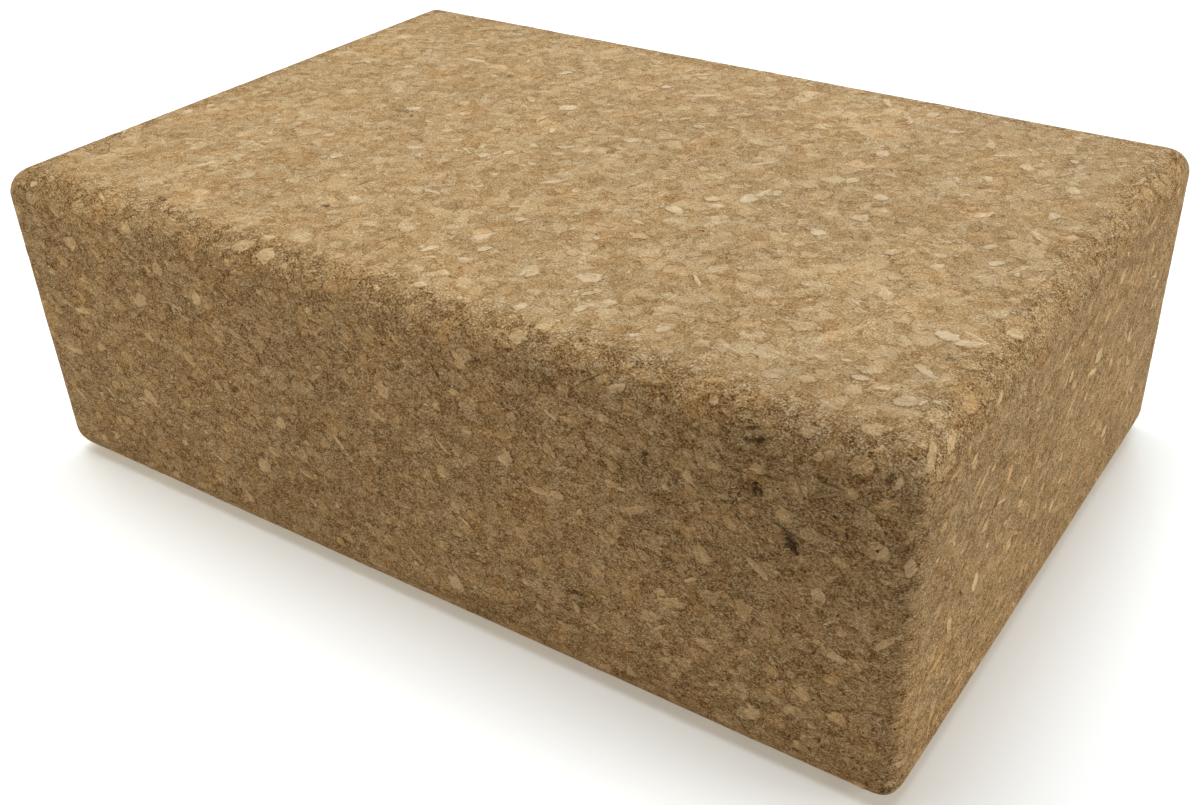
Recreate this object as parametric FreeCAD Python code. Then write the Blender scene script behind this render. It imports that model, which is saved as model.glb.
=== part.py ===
"""Cork yoga block: cork granules pressed with a binder into a brick, sanded flush, every edge rounded.

The edges round the top and the bottom are rounded more than the four upright ones, as in the photograph.

Millimetres, +Z up. The origin is the middle of the face that the block rests on. X runs along
the length, Y across the width, and the front long face looks along -Y.

The fine grit and its binder are one solid, the matrix. Each coarse granule that shows on the
surface is a solid of its own, bonded in a pocket of its own size and sanded flush.
"""
import FreeCAD
import Part
import math
import os
import random
from collections.abc import Iterator
from typing import NamedTuple

# Block
LENGTH = 228.6
WIDTH = 152.4
HEIGHT = 76.2
LEVEL_EDGE_RADIUS = 6.5
UPRIGHT_EDGE_RADIUS = 4.0

# Pale granules, clean cork
PALE_SHORTEST = 4.0
PALE_LONGEST = 7.5
PALE_DEPTH = 2.4
PALE_FACE_SPACING = 22.4
PALE_EDGE_SPACING = 60.0

# Tan granules, darker cork
TAN_SHORTEST = 3.5
TAN_LONGEST = 6.5
TAN_DEPTH = 2.2
TAN_FACE_SPACING = 28.3
TAN_EDGE_SPACING = 85.0

# Bark granules, the tree's dark outer crust
BARK_SHORTEST = 2.2
BARK_LONGEST = 4.4
BARK_DEPTH = 1.8
BARK_FACE_SPACING = 31.6
BARK_EDGE_SPACING = 120.0

# Shape and spacing that all granules share
FEWEST_CORNERS = 6
MOST_CORNERS = 9
CORNER_JITTER = 0.28      # of the angle between two corners
LEAST_REACH = 0.72        # of the half length, at a corner that falls short
SLIMMEST = 0.5            # breadth over length
STOUTEST = 0.9
BOTTOM_SCALE = 0.7        # a granule narrows to this by its full depth
BINDER_WEB = 0.8          # least matrix between two granules
PLAIN_MIDDLE = 6.0        # radius at the middle of each face that holds fine grit only
CUTTER_OVERRUN = 0.5      # how far a pocket's cutter stands out of the surface
EDGE_SWING = 15.0         # degrees that an edge granule may lie to either side of the edge's middle
SEED = 7

X = FreeCAD.Vector(1, 0, 0)
Y = FreeCAD.Vector(0, 1, 0)
Z = FreeCAD.Vector(0, 0, 1)
MIDDLE = FreeCAD.Vector(0, 0, HEIGHT / 2)


class Kind(NamedTuple):
    """One kind of coarse granule, with its mean spacing over a face and along an edge."""

    shortest: float
    longest: float
    depth: float
    face_spacing: float
    edge_spacing: float


class Face(NamedTuple):
    """One flat face of the block, with its own right-handed axes."""

    along: FreeCAD.Vector
    across: FreeCAD.Vector
    outward: FreeCAD.Vector
    size_along: float
    size_across: float
    size_outward: float


class Edge(NamedTuple):
    """One rounded edge of the block, between two faces."""

    along: FreeCAD.Vector
    outward_first: FreeCAD.Vector
    outward_second: FreeCAD.Vector
    size_along: float
    size_first: float
    size_second: float
    radius: float


class Seat(NamedTuple):
    """Where a granule meets the surface: a point and the axes of the granule there."""

    point: FreeCAD.Vector
    along: FreeCAD.Vector
    across: FreeCAD.Vector
    outward: FreeCAD.Vector


class Granule(NamedTuple):
    """One coarse granule.

    Its place is a share of the half size of its flat, its length a share of its kind's longest,
    its breadth a share of its length, and its turn is in degrees.
    """

    kind: str
    along: float
    across: float
    length_share: float
    breadth_share: float
    turn: float


KINDS = {
    "pale": Kind(PALE_SHORTEST, PALE_LONGEST, PALE_DEPTH, PALE_FACE_SPACING, PALE_EDGE_SPACING),
    "tan": Kind(TAN_SHORTEST, TAN_LONGEST, TAN_DEPTH, TAN_FACE_SPACING, TAN_EDGE_SPACING),
    "bark": Kind(BARK_SHORTEST, BARK_LONGEST, BARK_DEPTH, BARK_FACE_SPACING, BARK_EDGE_SPACING),
}

FACES = {
    "top": Face(X, Y, Z, LENGTH, WIDTH, HEIGHT),
    "bottom": Face(X, -Y, -Z, LENGTH, WIDTH, HEIGHT),
    "front": Face(X, Z, -Y, LENGTH, HEIGHT, WIDTH),
    "back": Face(-X, Z, Y, LENGTH, HEIGHT, WIDTH),
    "right_end": Face(Y, Z, X, WIDTH, HEIGHT, LENGTH),
    "left_end": Face(-Y, Z, -X, WIDTH, HEIGHT, LENGTH),
}

SEEN = {
    "top": [
        Granule("pale", 0.31, -0.72, 0.95, 0.85, 20),
        Granule("pale", 0.04, -0.69, 0.85, 0.70, 0),
        Granule("pale", 0.52, -0.85, 0.65, 0.80, 60),
        Granule("pale", 0.87, -0.77, 0.80, 0.75, 30),
        Granule("pale", 0.93, -0.52, 0.95, 0.60, -10),
        Granule("bark", 0.55, -0.34, 0.90, 0.55, 0),
        Granule("bark", 0.39, -0.32, 0.80, 0.55, 10),
    ],
    "front": [
        Granule("pale", 0.77, 0.60, 0.75, 0.80, 30),
        Granule("pale", 0.68, 0.16, 0.80, 0.65, -20),
        Granule("pale", 0.86, 0.81, 0.85, 0.60, 60),
        Granule("pale", 0.93, -0.17, 0.95, 0.50, -25),
        Granule("pale", 0.64, -0.25, 0.65, 0.80, 10),
        Granule("tan", 0.95, -0.62, 0.90, 0.85, 0),
        Granule("pale", 0.86, -0.71, 0.65, 0.70, 45),
    ],
    "right_end": [
        Granule("pale", -0.80, 0.86, 0.65, 0.70, 70),
        Granule("tan", -0.50, 0.40, 0.90, 0.60, 80),
    ],
}


def edge_radius(along: FreeCAD.Vector) -> float:
    """The radius of the block's edges along one axis."""
    return UPRIGHT_EDGE_RADIUS if along == Z else LEVEL_EDGE_RADIUS


def rounded_along(axis: FreeCAD.Vector) -> Part.Shape:
    """The block with only its four edges along one axis rounded."""
    corner = FreeCAD.Vector(-LENGTH / 2, -WIDTH / 2, 0)
    block = Part.makeBox(LENGTH, WIDTH, HEIGHT, corner)
    edges = [edge for edge in block.Edges if abs(edge.tangentAt(edge.FirstParameter).dot(axis)) > 0.5]
    return block.makeFillet(edge_radius(axis), edges)


def rounded_block() -> Part.Shape:
    """The whole block before its matrix and granules are told apart. Its level edges meet in mitres."""
    return rounded_along(X).common(rounded_along(Y)).common(rounded_along(Z))


def block_edges() -> list[Edge]:
    """The twelve edges, four along each axis."""
    axes = [(X, LENGTH), (Y, WIDTH), (Z, HEIGHT)]
    edges = []
    for turn in range(3):
        (along, run), (first, size_first), (second, size_second) = axes[turn:] + axes[:turn]
        for outward_first in (first, -first):
            for outward_second in (second, -second):
                edges.append(Edge(along, outward_first, outward_second, run, size_first, size_second,
                                  edge_radius(along)))
    return edges


def drawn_granule(rng: random.Random, kind_name: str) -> Granule:
    """A granule of that kind with a chance size, place and turn."""
    kind = KINDS[kind_name]
    length_share = rng.uniform(kind.shortest / kind.longest, 1.0)
    breadth_share = rng.uniform(SLIMMEST, STOUTEST)
    along = rng.uniform(-1, 1)
    across = rng.uniform(-1, 1)
    return Granule(kind_name, along, across, length_share, breadth_share, rng.uniform(0, 180))


def granule_outline(rng: random.Random, length: float, breadth: float, turn: float) -> list[tuple]:
    """An irregular polygon about its own middle, inside a turned ellipse of that length and breadth."""
    corners = rng.randint(FEWEST_CORNERS, MOST_CORNERS)
    cosine = math.cos(math.radians(turn))
    sine = math.sin(math.radians(turn))
    outline = []
    for index in range(corners):
        angle = 2 * math.pi * (index + rng.uniform(-CORNER_JITTER, CORNER_JITTER)) / corners
        reach = rng.uniform(LEAST_REACH, 1.0) / 2
        along = reach * length * math.cos(angle)
        across = reach * breadth * math.sin(angle)
        outline.append((along * cosine - across * sine, along * sine + across * cosine))
    return outline


def section(outline: list[tuple], seat: Seat, height: float, depth: float) -> list[FreeCAD.Vector]:
    """The outline at a height above the surface, narrowed in proportion to its depth."""
    scale = 1 + (1 - BOTTOM_SCALE) * height / depth
    middle = seat.point + seat.outward * height
    return [middle + (seat.along * along + seat.across * across) * scale for along, across in outline]


def tapered_solid(outline: list[tuple], seat: Seat, depth: float, overrun: float) -> Part.Shape:
    """A granule's angular body, from its depth up to an overrun above the surface."""
    lower = section(outline, seat, -depth, depth)
    upper = section(outline, seat, overrun, depth)
    rings = [lower[::-1], upper]
    for index in range(len(outline)):
        after = (index + 1) % len(outline)
        rings.append([lower[index], lower[after], upper[after], upper[index]])
    faces = [Part.Face(Part.makePolygon(ring + ring[:1])) for ring in rings]
    return Part.makeSolid(Part.makeShell(faces))


def is_clear(along: float, across: float, reach: float, taken: list[tuple]) -> bool:
    """Whether a granule leaves a web of matrix to every one that is already set."""
    for other_along, other_across, other_reach in taken:
        if math.hypot(along - other_along, across - other_across) < reach + other_reach + BINDER_WEB:
            return False
    return True


def face_draws(name: str, flat_area: float) -> Iterator[tuple[Granule, random.Random]]:
    """Granules to try on a face: those that the photograph shows first, then chance ones of each kind."""
    for number, granule in enumerate(SEEN.get(name, [])):
        yield granule, random.Random(f"{SEED} {name} seen {number}")
    for kind_name, kind in KINDS.items():
        for number in range(round(flat_area / kind.face_spacing ** 2)):
            rng = random.Random(f"{SEED} {name} {kind_name} {number}")
            yield drawn_granule(rng, kind_name), rng


def face_granules(name: str, face: Face) -> Iterator[tuple[str, Part.Shape, Part.Shape]]:
    """The kind, solid and pocket cutter of each granule that finds room on one flat face."""
    half_along = face.size_along / 2 - LEVEL_EDGE_RADIUS
    half_across = face.size_across / 2 - LEVEL_EDGE_RADIUS
    middle = MIDDLE + face.outward * (face.size_outward / 2)
    taken = [(0.0, 0.0, PLAIN_MIDDLE)]
    for granule, rng in face_draws(name, 4 * half_along * half_across):
        kind = KINDS[granule.kind]
        along = granule.along * half_along
        across = granule.across * half_across
        length = granule.length_share * kind.longest
        reach = length / 2
        fits_flat = abs(along) + reach < half_along and abs(across) + reach < half_across
        if not (fits_flat and is_clear(along, across, reach, taken)):
            continue
        taken.append((along, across, reach))
        seat = Seat(middle + face.along * along + face.across * across, face.along, face.across, face.outward)
        outline = granule_outline(rng, length, length * granule.breadth_share, granule.turn)
        solid = tapered_solid(outline, seat, kind.depth, 0.0)
        yield granule.kind, solid, tapered_solid(outline, seat, kind.depth, CUTTER_OVERRUN)


def edge_granules(number: int, edge: Edge, block: Part.Shape) -> Iterator[tuple[str, Part.Shape, Part.Shape]]:
    """The kind, solid and pocket cutter of each granule along one rounded edge, cut to the edge's curve."""
    half_along = edge.size_along / 2 - LEVEL_EDGE_RADIUS
    axis = (MIDDLE + edge.outward_first * (edge.size_first / 2 - edge.radius)
            + edge.outward_second * (edge.size_second / 2 - edge.radius))
    swing = math.radians(EDGE_SWING)
    widest = 2 * edge.radius * (math.pi / 4 - swing) - BINDER_WEB
    taken = []
    for kind_name, kind in KINDS.items():
        for place in range(round(2 * half_along / kind.edge_spacing)):
            rng = random.Random(f"{SEED} edge {number} {kind_name} {place}")
            granule = drawn_granule(rng, kind_name)
            along = granule.along * half_along
            length = granule.length_share * kind.longest
            reach = length / 2
            if abs(along) + reach > half_along or not is_clear(along, 0.0, reach, taken):
                continue
            taken.append((along, 0.0, reach))
            angle = math.pi / 4 + swing * granule.across
            outward = edge.outward_first * math.cos(angle) + edge.outward_second * math.sin(angle)
            seat = Seat(axis + edge.along * along + outward * edge.radius, edge.along,
                        outward.cross(edge.along), outward)
            outline = granule_outline(rng, length, min(length * granule.breadth_share, widest), 0.0)
            cutter = tapered_solid(outline, seat, kind.depth, CUTTER_OVERRUN)
            yield kind_name, cutter.common(block).Solids[0], cutter


def build() -> dict[str, Part.Shape]:
    """Every node of the block by name."""
    block = rounded_block()
    beds = {name: list(face_granules(name, face)) for name, face in FACES.items()}
    beds["edge"] = []
    for number, edge in enumerate(block_edges()):
        beds["edge"] += edge_granules(number, edge, block)
    cutters = [cutter for bed in beds.values() for _, _, cutter in bed]
    nodes = {"cork_matrix": block.cut(cutters)}
    for place, bed in beds.items():
        for kind_name in KINDS:
            solids = [solid for kind, solid, _ in bed if kind == kind_name]
            nodes[f"{place}_{kind_name}_granules"] = Part.makeCompound(solids)
    return nodes


def main() -> None:
    """Write one STEP file for each node."""
    os.makedirs("parts", exist_ok=True)
    for name, shape in build().items():
        shape.exportStep(f"parts/{name}.step")
        soundness = "valid" if shape.isValid() else "not valid"
        print(f"{name}: {len(shape.Solids)} solids, {shape.Volume:.1f} mm3, {soundness}")


main()
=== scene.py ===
"""A cork yoga block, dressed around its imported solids.

The block is a brick of pressed cork: a matrix of fine grit, small granules scattered all over it, and
the coarse granules that the solids hold one by one. Metres, +Z up, the long front face looks along -Y.
"""

import logging
import math
import random
from dataclasses import dataclass
from enum import Enum
from typing import Any, NamedTuple

import bmesh
import bpy
import numpy as np
from mathutils import Matrix, Vector


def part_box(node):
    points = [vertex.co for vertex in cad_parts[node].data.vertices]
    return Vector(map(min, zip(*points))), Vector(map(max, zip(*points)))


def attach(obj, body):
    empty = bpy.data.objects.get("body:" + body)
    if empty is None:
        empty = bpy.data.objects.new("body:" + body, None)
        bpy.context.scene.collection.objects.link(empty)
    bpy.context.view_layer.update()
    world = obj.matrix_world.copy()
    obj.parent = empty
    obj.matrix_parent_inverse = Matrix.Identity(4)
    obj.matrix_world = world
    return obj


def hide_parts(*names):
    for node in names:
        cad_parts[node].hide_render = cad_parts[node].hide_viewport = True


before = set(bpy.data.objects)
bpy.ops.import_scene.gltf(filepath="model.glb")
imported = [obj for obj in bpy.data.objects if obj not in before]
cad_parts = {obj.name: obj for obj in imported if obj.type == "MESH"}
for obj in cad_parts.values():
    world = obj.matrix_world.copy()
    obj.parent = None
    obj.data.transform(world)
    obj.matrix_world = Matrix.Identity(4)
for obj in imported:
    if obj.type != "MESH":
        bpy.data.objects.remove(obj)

MM = 0.001
BODY = "root"
PLACES = ("top", "bottom", "front", "back", "right_end", "left_end", "edge")
Colour = tuple[float, float, float, float]
log = logging.getLogger("cork_block")


class GranuleKind(Enum):
    """The coarse granules' kinds, by the name that their nodes carry."""

    PALE = "pale"
    TAN = "tan"
    BARK = "bark"


class Pit(NamedTuple):
    """A torn place that the photograph shows, in millimetres."""

    place: tuple[float, float, float]
    radius: float


SEEN_PITS = (
    Pit((84.8, -76, 71.4), 0.9),
    Pit((82.6, -76, 70.6), 0.6),
    Pit((86.2, -76, 69.6), 0.5),
    Pit((86, -75.5, 73.5), 0.8),
    Pit((84.7, -76, 61.5), 1.1),
    Pit((91.5, -76, 53), 1.3),
    Pit((112, -76, 5), 1.0),
)


class Slot(Enum):
    """The record's material slots."""

    CORK = "cork"
    PALE = "pale_cork"
    TAN = "tan_cork"
    BARK = "bark"


class Attribute(Enum):
    """Names of the values that a mesh carries for its material."""

    TONE = "tone"
    GRAIN = "grain"
    RISE = "rise"
    INSET = "inset"
    STAND = "stand"
    PIT = "pit"


class TreeBuilder:
    """Adds nodes to one node tree and wires them."""

    def __init__(self, tree: bpy.types.NodeTree) -> None:
        """Start on a tree.

        Args:
            tree: The shader or geometry tree to fill.
        """
        self.tree = tree

    def feed(self, socket: bpy.types.NodeSocket, value: Any) -> None:
        """Link an output to a socket, or set the socket's own value.

        Args:
            socket: The input socket.
            value: Another node's output socket, or a plain value.
        """
        if isinstance(value, bpy.types.NodeSocket):
            self.tree.links.new(value, socket)
        else:
            socket.default_value = value

    def node(self, kind: str, inputs: dict[Any, Any] | None = None, **settings: Any) -> bpy.types.Node:
        """Add a node.

        Args:
            kind: Blender's name of the node's type.
            inputs: Values or outputs to feed, by socket name or number.
            **settings: Properties of the node itself.

        Returns:
            The new node.
        """
        node = self.tree.nodes.new(kind)
        for name, value in settings.items():
            setattr(node, name, value)
        for key, value in (inputs or {}).items():
            self.feed(node.inputs[key], value)
        return node

    def math(self, operation: str, *values: Any) -> bpy.types.NodeSocket:
        """Add a Math node and return its output.

        Args:
            operation: The node's operation.
            *values: Its operands.

        Returns:
            The result's socket.
        """
        return self.node("ShaderNodeMath", dict(enumerate(values)), operation=operation).outputs[0]

    def vector(self, operation: str, *values: Any) -> bpy.types.NodeSocket:
        """Add a Vector Math node and return its vector output.

        Args:
            operation: The node's operation.
            *values: Its operands.

        Returns:
            The result's socket.
        """
        return self.node("ShaderNodeVectorMath", dict(enumerate(values)), operation=operation).outputs[0]

    def scaled(self, vector: Any, factor: Any) -> bpy.types.NodeSocket:
        """A vector times a number.

        Args:
            vector: The vector.
            factor: The number.

        Returns:
            The result's socket.
        """
        node = self.node("ShaderNodeVectorMath", {"Vector": vector, "Scale": factor}, operation="SCALE")
        return node.outputs[0]

    def dot(self, first: Any, second: Any) -> bpy.types.NodeSocket:
        """The dot product of two vectors.

        Args:
            first: One vector.
            second: The other.

        Returns:
            The result's socket.
        """
        return self.node("ShaderNodeVectorMath", {0: first, 1: second}, operation="DOT_PRODUCT").outputs["Value"]

    def remap(self, value: Any, low: Any, high: Any, to_low: Any = 0.0, to_high: Any = 1.0) -> bpy.types.NodeSocket:
        """Map a range smoothly onto another and clamp it there.

        Args:
            value: What is mapped.
            low: Start of its range.
            high: End of its range.
            to_low: What the start becomes.
            to_high: What the end becomes.

        Returns:
            The result's socket.
        """
        inputs = {"Value": value, "From Min": low, "From Max": high, "To Min": to_low, "To Max": to_high}
        return self.node("ShaderNodeMapRange", inputs, interpolation_type="SMOOTHSTEP").outputs["Result"]

    def mix(self, factor: Any, first: Any, second: Any, blend: str = "MIX") -> bpy.types.NodeSocket:
        """Mix two colours.

        Args:
            factor: Share of the second.
            first: One colour.
            second: The other.
            blend: The blend type.

        Returns:
            The colour's socket.
        """
        node = self.node("ShaderNodeMix", {0: factor, 6: first, 7: second}, data_type="RGBA", blend_type=blend)
        return node.outputs[2]

    def lerp(self, factor: Any, first: Any, second: Any) -> bpy.types.NodeSocket:
        """Mix two numbers.

        Args:
            factor: Share of the second.
            first: One number.
            second: The other.

        Returns:
            The number's socket.
        """
        return self.node("ShaderNodeMix", {0: factor, 2: first, 3: second}, data_type="FLOAT").outputs[0]

    def noise(self, vector: Any, scale: Any, detail: float = 2.0, roughness: float = 0.5) -> bpy.types.Node:
        """Add a noise texture.

        Args:
            vector: Where it is read.
            scale: Its frequency.
            detail: Number of octaves.
            roughness: How much the finer octaves count.

        Returns:
            The texture's node.
        """
        inputs = {"Vector": vector, "Scale": scale, "Detail": detail, "Roughness": roughness}
        return self.node("ShaderNodeTexNoise", inputs)

    def cells(self, vector: Any, scale: Any, feature: str = "F1", metric: str = "EUCLIDEAN") -> bpy.types.Node:
        """Add a cell texture.

        Args:
            vector: Where it is read.
            scale: Its frequency.
            feature: What it measures.
            metric: How distance is taken.

        Returns:
            The texture's node.
        """
        inputs = {"Vector": vector, "Scale": scale}
        if feature == "DISTANCE_TO_EDGE":
            return self.node("ShaderNodeTexVoronoi", inputs, feature=feature)
        return self.node("ShaderNodeTexVoronoi", inputs, feature=feature, distance=metric)

    def ramp(self, factor: Any, stops: list[tuple[float, Colour]], interpolation: str = "LINEAR") -> bpy.types.NodeSocket:
        """Add a colour ramp.

        Args:
            factor: What drives it.
            stops: Places and colours along it.
            interpolation: How it passes from stop to stop.

        Returns:
            The colour's socket.
        """
        node = self.node("ShaderNodeValToRGB", {"Fac": factor})
        elements = node.color_ramp.elements
        node.color_ramp.interpolation = interpolation
        while len(elements) < len(stops):
            elements.new(1.0)
        for element, (place, colour) in zip(elements, stops):
            element.position = place
            element.color = colour
        return node.outputs["Color"]

    def group(self, tree: bpy.types.NodeTree, inputs: dict[str, Any]) -> bpy.types.Node:
        """Place a node group.

        Args:
            tree: The group's tree.
            inputs: What feeds it, by socket name.

        Returns:
            The group's node.
        """
        kind = "GeometryNodeGroup" if tree.bl_idname == "GeometryNodeTree" else "ShaderNodeGroup"
        return self.node(kind, inputs, node_tree=tree)


class GroupBuilder(TreeBuilder):
    """Builds a node group with named inputs and outputs."""

    def __init__(self, name: str, kind: str) -> None:
        """Make an empty group.

        Args:
            name: The group's name.
            kind: ShaderNodeTree or GeometryNodeTree.
        """
        super().__init__(bpy.data.node_groups.new(name, kind))
        self.entry = self.tree.nodes.new("NodeGroupInput")
        self.exit = self.tree.nodes.new("NodeGroupOutput")
        self.identifiers: dict[str, str] = {}

    def takes(self, name: str, kind: str, default: Any = None) -> bpy.types.NodeSocket:
        """Add a named input.

        Args:
            name: The input's name.
            kind: Its socket type, without the NodeSocket prefix.
            default: Its default value.

        Returns:
            The socket inside the group.
        """
        item = self.tree.interface.new_socket(name=name, in_out="INPUT", socket_type="NodeSocket" + kind)
        if default is not None:
            item.default_value = default
        self.identifiers[name] = item.identifier
        return self.entry.outputs[name]

    def gives(self, name: str, kind: str, value: bpy.types.NodeSocket) -> None:
        """Add a named output.

        Args:
            name: The output's name.
            kind: Its socket type, without the NodeSocket prefix.
            value: The socket that it puts out.
        """
        self.tree.interface.new_socket(name=name, in_out="OUTPUT", socket_type="NodeSocket" + kind)
        self.tree.links.new(value, self.exit.inputs[name])


def evaluated_mesh(holder: bpy.types.Object, name: str) -> bpy.types.Object:
    """Turn an object with a Geometry Nodes modifier into a plain mesh object at the origin.

    Args:
        holder: The object that carries the modifier. It is removed.
        name: Name of the finished piece.

    Returns:
        The finished piece.
    """
    bpy.context.view_layer.update()
    depsgraph = bpy.context.evaluated_depsgraph_get()
    evaluated = holder.evaluated_get(depsgraph)
    mesh = bpy.data.meshes.new_from_object(evaluated, preserve_all_data_layers=True, depsgraph=depsgraph)
    source = holder.data
    bpy.data.objects.remove(holder)
    bpy.data.meshes.remove(source)
    mesh.name = name
    piece = bpy.data.objects.new(name, mesh)
    bpy.context.scene.collection.objects.link(piece)
    return piece


def run_tree(group: GroupBuilder, mesh: bpy.types.Mesh, name: str, values: dict[str, Any]) -> bpy.types.Object:
    """Run a Geometry Nodes tree on a mesh and keep the result as a plain piece.

    Args:
        group: The tree, with its inputs' identifiers.
        mesh: The mesh that it starts from.
        name: Name of the finished piece.
        values: The tree's inputs by name.

    Returns:
        The finished piece.
    """
    holder = bpy.data.objects.new(name + "_holder", mesh)
    bpy.context.scene.collection.objects.link(holder)
    modifier = holder.modifiers.new("form", "NODES")
    modifier.node_group = group.tree
    for key, value in values.items():
        modifier[group.identifiers[key]] = value
    return evaluated_mesh(holder, name)


def add_piece(piece: bpy.types.Object, replaced: str | None = None) -> None:
    """Register a finished piece with the frame and report it.

    Args:
        piece: The piece.
        replaced: The node that it stands for, if there is one.
    """
    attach(piece, BODY)
    if replaced:
        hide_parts(replaced)
    log.info("%s: %d vertices, %d faces", piece.name, len(piece.data.vertices), len(piece.data.polygons))


@dataclass
class BlockForm:
    """The rounded brick that everything sits on, in metres.

    Its level edges have a round section. Its upright edges have a squarer one, whose power makes them
    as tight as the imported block's.
    """

    centre: Vector
    half: Vector
    edge_radius: float
    upright_radius: float
    edge_power: float = 2.0

    @classmethod
    def from_frame(cls, node: str) -> "BlockForm":
        """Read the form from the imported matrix.

        Args:
            node: Name of the matrix's node.

        Returns:
            The form.
        """
        low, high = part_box(node)
        flush = 1e-6
        points = [vertex.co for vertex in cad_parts[node].data.vertices]
        top_reach = max(point.x for point in points if point.z > high.z - flush)
        front_reach = max(point.x for point in points if point.y < low.y + flush)
        return cls((low + high) / 2, (high - low) / 2, high.x - top_reach, high.x - front_reach)

    @property
    def inner(self) -> Vector:
        """Half sizes of the box that the edge radius is rolled round."""
        return self.half - Vector((self.edge_radius,) * 3)

    @property
    def plan_power(self) -> float:
        """The power of the upright edges' section that cuts as little off a corner as their radius does."""
        corner_cut = 1.0 - math.sqrt(0.5)
        return -math.log(2.0) / math.log(1.0 - corner_cut * self.upright_radius / self.edge_radius)

    def nearest(self, point: Vector) -> tuple[Vector, Vector]:
        """The surface point next to a point, and the outward direction there.

        Args:
            point: Any point outside the inner box.

        Returns:
            The surface point and the unit normal.
        """
        local = point - self.centre
        core = Vector([max(-limit, min(limit, value)) for value, limit in zip(local, self.inner)])
        away = local - core
        power = self.plan_power
        plan = (abs(away.x) ** power + abs(away.y) ** power) ** (1.0 / power)
        reach = (plan ** self.edge_power + abs(away.z) ** self.edge_power) ** (1.0 / self.edge_power)
        return self.centre + core + away * (self.edge_radius / reach), away.normalized()


class CorkSurface:
    """Geometry groups that every piece of the block shares: its form and its relief."""

    undulation = 0.10 * MM
    grain_relief = 0.05 * MM
    pit_depth = 0.75 * MM

    def __init__(self, form: BlockForm) -> None:
        """Build the groups.

        Args:
            form: The block's form.
        """
        self.form = form
        self.seat = self._seat_group()
        self.relief = self._relief_group()

    def _seat_group(self) -> bpy.types.NodeTree:
        """Build the group that moves a point to a height above the rounded brick.

        Returns:
            The group's tree.
        """
        build = GroupBuilder("seat_on_block", "GeometryNodeTree")
        point = build.takes("Position", "Vector")
        height = build.takes("Height", "Float", 0.0)
        inner = build.takes("Inner", "Vector", self.form.inner)
        centre = build.takes("Centre", "Vector", self.form.centre)
        radius = build.takes("Edge Radius", "Float", self.form.edge_radius)
        local = build.vector("SUBTRACT", point, centre)
        core = build.vector("MINIMUM", build.vector("MAXIMUM", local, build.scaled(inner, -1.0)), inner)
        away = build.vector("SUBTRACT", local, core)
        power = self.form.plan_power
        part = [build.math("ABSOLUTE", axis) for axis in build.node("ShaderNodeSeparateXYZ", {0: away}).outputs]
        plan = build.math("ADD", build.math("POWER", part[0], power), build.math("POWER", part[1], power))
        edge_power = self.form.edge_power
        level = build.math("POWER", plan, edge_power / power)
        both = build.math("ADD", level, build.math("POWER", part[2], edge_power))
        reach = build.math("POWER", both, 1.0 / edge_power)
        lifted = build.scaled(away, build.math("DIVIDE", build.math("ADD", radius, height), reach))
        build.gives("Position", "Vector", build.vector("ADD", build.vector("ADD", centre, core), lifted))
        return build.tree

    def _relief_group(self) -> bpy.types.NodeTree:
        """Build the group that gives the surface's own height: slow waves, grain and torn pits.

        Returns:
            The group's tree.
        """
        build = GroupBuilder("cork_relief", "GeometryNodeTree")
        point = build.takes("Position", "Vector")
        place = build.scaled(point, 1.0 / MM)
        waves = build.math("SUBTRACT", build.noise(place, 0.045).outputs[0], 0.5)
        grain = build.math("SUBTRACT", build.noise(place, 0.35, detail=3.0).outputs[0], 0.5)
        pit = pit_mask(build, place)
        height = build.math("MULTIPLY", waves, 2 * self.undulation)
        height = build.math("MULTIPLY_ADD", grain, 2 * self.grain_relief, height)
        height = build.math("MULTIPLY_ADD", pit, -self.pit_depth, height)
        build.gives("Height", "Float", height)
        build.gives("Pit", "Float", pit)
        return build.tree

    def settled(self, build: TreeBuilder, height: Any) -> tuple[bpy.types.NodeSocket, bpy.types.NodeSocket]:
        """Add the nodes that settle a point on the block, over its relief.

        Args:
            build: The tree that they go into.
            height: Height above the relief.

        Returns:
            The new position and the pit mask there.
        """
        here = build.node("GeometryNodeInputPosition").outputs[0]
        level = build.group(self.seat, {"Position": here}).outputs[0]
        relief = build.group(self.relief, {"Position": level})
        total = build.math("ADD", relief.outputs["Height"], height)
        moved = build.group(self.seat, {"Position": here, "Height": total}).outputs[0]
        return moved, relief.outputs["Pit"]


def pit_mask(build: TreeBuilder, place: bpy.types.NodeSocket) -> bpy.types.NodeSocket:
    """Add the nodes that mark where a granule was torn out of the surface.

    Args:
        build: A shader or geometry tree.
        place: The position in millimetres.

    Returns:
        One inside a pit and zero outside.
    """
    spacing = 21.0
    warp = build.vector("SUBTRACT", build.noise(place, 0.8).outputs["Color"], (0.5, 0.5, 0.5))
    bent = build.vector("ADD", place, build.scaled(warp, 3.2))
    cells = build.cells(bent, 1.0 / spacing)
    chance = build.node("ShaderNodeSeparateXYZ", {0: cells.outputs["Color"]})
    radius = build.math("MULTIPLY_ADD", chance.outputs[0], 1.1, 0.5)
    present = build.math("GREATER_THAN", chance.outputs[1], 0.45)
    distance = build.math("MULTIPLY", cells.outputs["Distance"], spacing)
    inside = build.remap(build.math("DIVIDE", distance, radius), 1.0, 0.5)
    mask = build.math("MULTIPLY", inside, present)
    for pit in SEEN_PITS:
        away = build.vector("SUBTRACT", bent, pit.place)
        nearness = build.dot(away, build.scaled(away, pit.radius ** -2))
        mask = build.math("MAXIMUM", mask, build.remap(nearness, 1.0, 0.3))
    return mask


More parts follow.
